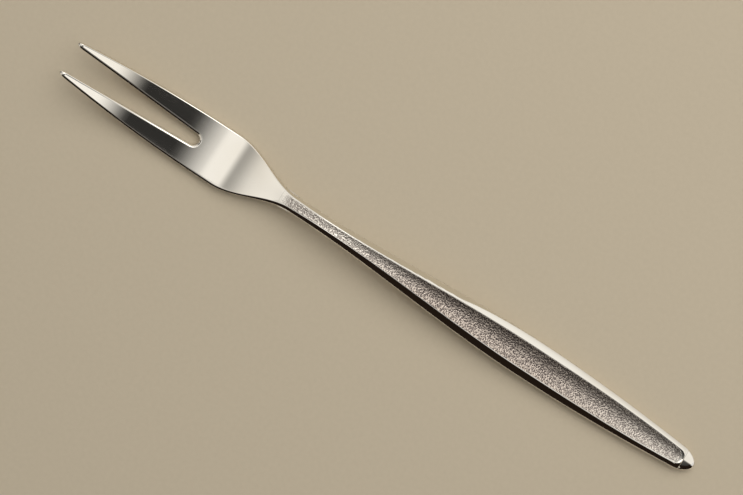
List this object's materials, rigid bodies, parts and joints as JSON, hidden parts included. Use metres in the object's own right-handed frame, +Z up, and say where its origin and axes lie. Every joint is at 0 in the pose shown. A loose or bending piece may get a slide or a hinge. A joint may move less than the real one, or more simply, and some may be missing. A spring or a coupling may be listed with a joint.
{
  "type": "meat fork",
  "caption": "Slender meat fork with long tapered tines, drawn-in shoulders and a hollow handle whose face is a stippled trough between polished bevels, for holding and serving slices.",
  "frame": {"origin": "middle of the fork's length and width, on the table plane under it", "axes": "+X towards the tine points, +Z up out of the trough, +Y across the fork"},
  "size_m": [0.178, 0.0142, 0.0076],
  "materials": {
    "polished_silver": "polished",
    "struck_silver": "satin",
    "solder": "satin",
    "cement": "matte"
  },
  "bodies": {
    "root": {"fork_head": "polished_silver", "handle_front_shell": "struck_silver", "handle_back_shell": "polished_silver", "side_seam_solder": "solder", "neck_joint_solder": "solder", "tang_cement": "cement"}
  },
  "joints": []
}
